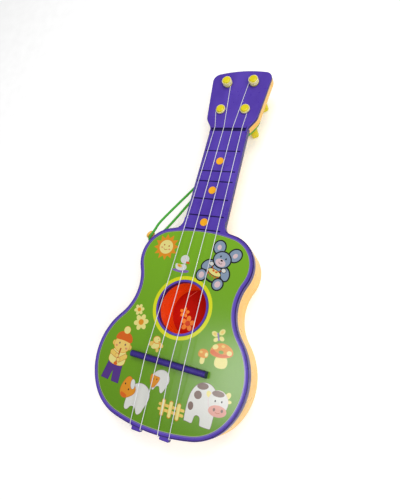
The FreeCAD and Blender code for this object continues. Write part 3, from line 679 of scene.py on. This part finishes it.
def cow():
    body = [(31.0, -177.4), (30.4, -178.4), (29.6, -166.0), (30.6, -151.6), (37.0, -142.6), (46.6, -140.8),
            (54.4, -145.4), (57.4, -156.0), (56.8, -177.6), (56.0, -178.4), (46.6, -178.4), (45.8, -177.4),
            (45.2, -171.4), (42.0, -170.0), (39.2, -171.2), (38.6, -177.4), (37.8, -178.4)]
    shapes = outlined("white", soft(body, 8), 0.35, "umber")
    shapes += [("umber", oval(41.0, -145.0, 5.6, 3.0, 10)), ("umber", oval(38.2, -153.4, 3.8, 3.7)),
               ("umber", oval(33.6, -164.2, 2.7, 3.7, 8)),
               ("cream", oval(48.4, -150.0, 2.4, 3.0, 35)), ("cream", oval(66.4, -147.0, 2.3, 3.2, -25)),
               ("cream", oval(68.2, -151.8, 2.4, 1.5, 10)),
               ("rose", oval(58.4, -154.6, 9.6, 10.2, 6)), ("white", oval(58.4, -154.5, 9.2, 9.8, 6)),
               ("umber", oval(57.0, -147.7, 6.0, 2.7, 4)),
               ("black", oval(55.6, -154.2, 0.7, 1.0)), ("black", oval(61.8, -153.4, 0.7, 1.0)),
               ("pink", oval(59.4, -162.0, 8.7, 5.0, 5)),
               ("umber", oval(56.2, -161.4, 1.1, 1.5)), ("umber", oval(63.6, -160.8, 1.1, 1.5)),
               ("rust", arch(59.6, -160.4, 3.4, 235, 315, 0.4))]
    return shapes


def mushrooms():
    small_cap = [(28.2, -120.0), (29.4, -112.6), (38.0, -112.4), (39.6, -119.6), (34.0, -121.0)]
    large_cap = [(38.6, -115.8), (41.0, -107.0), (50.6, -102.6), (60.8, -106.2), (63.6, -113.4),
                 (51.0, -117.8)]
    brim = [(38.8, -115.0), (41.6, -110.0), (46.8, -113.4), (55.2, -113.6), (60.4, -109.0), (63.2, -113.0),
            (51.0, -117.4)]
    return [("cream", soft([(32.2, -118), (31.4, -126.4), (36.8, -126.4), (36.2, -118)])),
            ("orange", soft(small_cap)),
            ("cream", oval(37.0, -117.2, 1.5, 2.0)), ("sand", oval(31.4, -115.8, 1.5, 1.2)),
            ("cream", soft([(46.6, -114), (45.6, -126.6), (59.6, -126.0), (58.0, -114)])),
            ("orange", soft(large_cap)), ("deep_orange", soft(brim)),
            ("cream", oval(44.0, -108.2, 2.9, 2.3, 20)), ("cream", oval(58.6, -111.2, 2.6, 2.2)),
            ("sand", oval(51.4, -106.2, 1.8, 1.3)), ("moss", oval(50.6, -111.8, 2.4, 1.6))]


def butterfly():
    shapes = [("cream", oval(x, y, rx, ry, turn)) for x, y, rx, ry, turn in
              ((3.0, 3.6, 3.4, 2.5, 50), (-3.8, 0.6, 3.4, 2.4, -20), (4.0, -2.4, 2.6, 2.0, -30),
               (-1.6, -4.4, 2.5, 2.0, 40))]
    shapes += [("sand", oval(3.0, 3.6, 1.6, 1.1, 50)), ("sand", oval(-3.8, 0.6, 1.6, 1.1, -20))]
    shapes.append(("lilac", stroke((-1.0, 1.6), (1.4, -4.2), 1.4)))
    return placed(shapes, 44.4, -97.4)


def panel_rim():
    """The panel's outer edge, in order round it, in millimetres."""
    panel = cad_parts["picture_panel"]
    edge = [panel.matrix_world @ vertex.co / MM for vertex in panel.data.vertices]
    middle = Vector((*BODY_MIDDLE, PANEL_TOP))
    rim = [point for point in edge if point.z > PANEL_TOP - 0.01 and (point - middle).length > HOLE_CLEAR]
    rim = {(round(point.x, 3), round(point.y, 3)) for point in rim}
    return sorted(rim, key=lambda point: math.atan2(point[1] - middle.y, point[0]))


def band(name, ring, near, far, level, ink):
    """A closed flat band that follows a ring, from one distance outside it to another; it carries printed
    ink, and also painted highlights and painted shade.
    """
    low, high = level - INK_ROOT, level + INK_STEP
    inner, outer = outward(ring, near), outward(ring, far)
    count = len(ring)
    corners = ((inner, high), (outer, high), (outer, low), (inner, low))
    vertices = [Vector((x, y, z)) * MM for line, z in corners for x, y in line]
    faces = []
    for side in range(4):
        a, b = side * count, ((side + 1) % 4) * count
        for i in range(count):
            j = (i + 1) % count
            faces.append((a + i, b + i, b + j, a + j))
    made = new_piece(name, vertices, faces, [inks_and_painted_light[ink]], smooth=False)
    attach(made, "guitar")


def rim_lines():
    """Painted light on the rim: a painted highlight along the bead's crest, a painted highlight on the
    panel's edge and painted shade in the step's corner.
    """
    ring = panel_rim()
    # painted highlight along the bead's crest
    band("bead_painted_highlight", ring, BEAD_NEAR, BEAD_FAR, BEAD_TOP, "haze")
    # painted highlight on the panel's edge
    band("panel_edge_painted_highlight", ring, TRIM_NEAR, TRIM_FAR, PANEL_TOP, "edge_highlight_ink")
    # painted shade in the step's corner
    band("step_painted_shade", ring, STEP_NEAR, STEP_FAR, STEP_Z, "night")


def artwork():
    drawing("drawing_sun", sun())
    drawing("drawing_duck", duck())
    drawing("drawing_drummer", drummer())
    drawing("drawing_flowers", flower(-46.6, -90.0, 5.8) + flower(-40.4, -102.0, 8.3))
    drawing("drawing_chick", chick())
    drawing("drawing_piper", piper())
    drawing("drawing_sheep_near", sheep_near())
    drawing("drawing_sheep_far", sheep_far())
    drawing("drawing_fence", fence())
    drawing("drawing_cow", cow())
    drawing("drawing_mushrooms", mushrooms())
    drawing("drawing_butterfly", butterfly())
    hole_edge = oval(*BODY_MIDDLE, RING_RADIUS, RING_RADIUS, points=96)
    band("drawing_ring", hole_edge, 0, RING_WIDTH, PANEL_TOP, "lemon")
    cup = flower(-11.9, -79.9, 5.7, "cup_orange", "cup_heart", 5)
    cup += flower(-5.1, -90.7, 8.2, "cup_orange", "cup_heart", 5)
    cup.append(("cup_line", stroke((-13.1, -64.6), (-3.6, -55.0), 0.5)))
    drawing("drawing_cup_flowers", cup, CUP_FLOOR_TOP)


def shade_blocks(name, boxes, material, body):
    """Flat blocks, each given by its lowest and highest corner, joined in one piece."""
    vertices = []
    faces = []
    for (x0, y0, z0), (x1, y1, z1) in boxes:
        first = len(vertices)
        for z in (z0, z1):
            corners = ((x0, y0, z), (x1, y0, z), (x1, y1, z), (x0, y1, z))
            vertices += [Vector(corner) * MM for corner in corners]
        faces += [(first + 3, first + 2, first + 1, first), (first + 4, first + 5, first + 6, first + 7)]
        for i in range(4):
            j = (i + 1) % 4
            faces.append((first + i, first + j, first + 4 + j, first + 4 + i))
    made = new_piece(name, vertices, faces, [material], smooth=False)
    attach(made, body)


def painted_groove_shade():
    """Painted shade: dark blocks in each fret groove, in the wider one by the nut and in the bridge's slots.
    """
    # a dark colour standing in for the shade in the grooves and slots
    dark = moulded("groove_painted_shade", (22, 8, 76), 0.45, specular=0.1)
    grooves = []
    for y, width in [(y, FRET_WIDTH) for y in FRET_YS] + [(NUT_LINE_Y, NUT_LINE_WIDTH)]:
        half = width / 2 - LINE_GAP
        grooves.append(((-GROOVE_HALF, y - half, GROOVE_LOW_Z), (GROOVE_HALF, y + half, GROOVE_HIGH_Z)))
    # painted shade in the fret grooves and the groove by the nut
    shade_blocks("fret_painted_shade", grooves, dark, "guitar")
    slots = []
    for x in BRIDGE_SLOT_XS:
        y = BRIDGE_MIDDLE[1] + (x - BRIDGE_MIDDLE[0]) * math.tan(BRIDGE_TILT)
        slots.append(((x - SLOT_HALF_WIDTH, y - SLOT_HALF_LENGTH, SLOT_LOW_Z),
                      (x + SLOT_HALF_WIDTH, y + SLOT_HALF_LENGTH, SLOT_HIGH_Z)))
    # painted shade in the bridge's slots
    shade_blocks("bridge_slot_painted_shade", slots, dark, "bridge")


# ---- CAD nodes that keep their shape ----
def paint(node, material):
    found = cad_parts[node]
    found.data.materials.clear()
    found.data.materials.append(material)


def paint_nodes(string_material):
    # painted side shade: the purple's steep faces take a darker colour
    purple = moulded("purple_plastic", (79, 53, 166), specular=0.3, side=(34, 16, 100))
    paint("front_shell", purple)
    # the bridge: the purple plastic painted darker as shade, with painted side shade on its steep faces
    paint("bridge", moulded("bridge_shaded_purple", (50, 32, 124), 0.28, specular=0.3, side=(20, 8, 74)))
    paint("back_shell", moulded("orange_plastic", (244, 188, 78)))
    paint("picture_panel", panel_green())
    # painted glow: the red cup gives off a faint orange light
    paint("sound_cup", painted_glow(moulded("red_plastic", (238, 64, 8), 0.3, specular=0.3), (250, 96, 0), 0.13))
    paint("cup_picture", printed("cup_red", (186, 22, 8), 0.45, gloss=0.03))
    amber = moulded("amber_plastic", (250, 172, 14), 0.25)
    yellow = moulded("yellow_plastic", (220, 204, 8), 0.3, specular=0.3)
    steel = zinc()
    for number in (1, 2, 3):
        paint("fret_dot_%d" % number, amber)
    for number in (1, 2, 3, 4):
        paint("tuning_peg_%d" % number, yellow)
    for node in ("string_pair_left", "string_pair_right"):
        paint(node, string_material)
    for node in ("body_screws", "neck_screws"):
        paint(node, steel)


# ---- studio ----
def floor():
    corners = [(x * FLOOR_HALF, y * FLOOR_HALF, FLOOR_Z) for x, y in ((-1, -1), (1, -1), (1, 1), (-1, 1))]
    made = new_piece("floor", corners, [(0, 1, 2, 3)], [], smooth=False)
    surface = Surface("floor_paper", 0.9, 0.1)
    grain = surface.spread(surface.noise(60, 3.0), 0.3, 0.7, 0, 1)
    surface.link(surface.blend(grain, colour((244, 244, 244)), colour((250, 250, 250))),
                 surface.shader.inputs["Base Color"])
    surface.shader.inputs["Emission Color"].default_value = (1, 1, 1, 1)
    surface.shader.inputs["Emission Strength"].default_value = FLOOR_GLOW
    made.data.materials.append(surface.material)


def softbox(name, place, aim, width, height, radiance):
    light = bpy.data.lights.new(name, "AREA")
    light.shape = "RECTANGLE"
    light.size = width
    light.size_y = height
    light.energy = radiance * math.pi * width * height
    made = bpy.data.objects.new(name, light)
    made.location = place
    made.rotation_euler = (Vector(aim) - Vector(place)).to_track_quat("-Z", "Y").to_euler()
    bpy.context.scene.collection.objects.link(made)


def studio():
    floor()
    softbox("panel_sheen", (-0.315, -0.165, 1.14), (-0.315, -0.165, 0.0), 0.33, 0.29, 2.7)
    softbox("panel_glare", (-0.25, -0.175, 1.16), (-0.25, -0.175, 0.0), 0.18, 0.27, 5.2)
    softbox("right_light", (0.88, -0.30, 1.08), (0, -0.05, 0.02), 0.9, 0.9, 3.9)
    softbox("main_light", (0.25, 0.50, 1.15), (0, 0, 0.03), 0.6, 0.6, 5.2)
    world = bpy.data.worlds.new("studio")
    bpy.context.scene.world = world
    world.use_nodes = True
    world.node_tree.nodes["Background"].inputs["Color"].default_value = (1, 1, 1, 1)
    world.node_tree.nodes["Background"].inputs["Strength"].default_value = ROOM_GLOW


def camera():
    lens = bpy.data.cameras.new("camera")
    lens.lens = CAMERA_LENS
    lens.sensor_width = CAMERA_SENSOR
    lens.clip_start = 0.01
    made = bpy.data.objects.new("camera", lens)
    back = CAMERA_BACK.normalized()
    right = CAMERA_UP.cross(back).normalized()
    turn = Matrix((right, back.cross(right), back)).transposed()
    made.matrix_world = Matrix.Translation(CAMERA_PLACE) @ turn.to_4x4()
    bpy.context.scene.collection.objects.link(made)
    bpy.context.scene.camera = made


camera()
studio()
strap()
nylon_line = nylon()
paint_nodes(nylon_line)
turns_line = wound_nylon()
for number in (1, 2, 3, 4):
    string_turns(number, turns_line)
artwork()
rim_lines()
painted_groove_shade()

bpy.context.scene.view_settings.view_transform = "Standard"
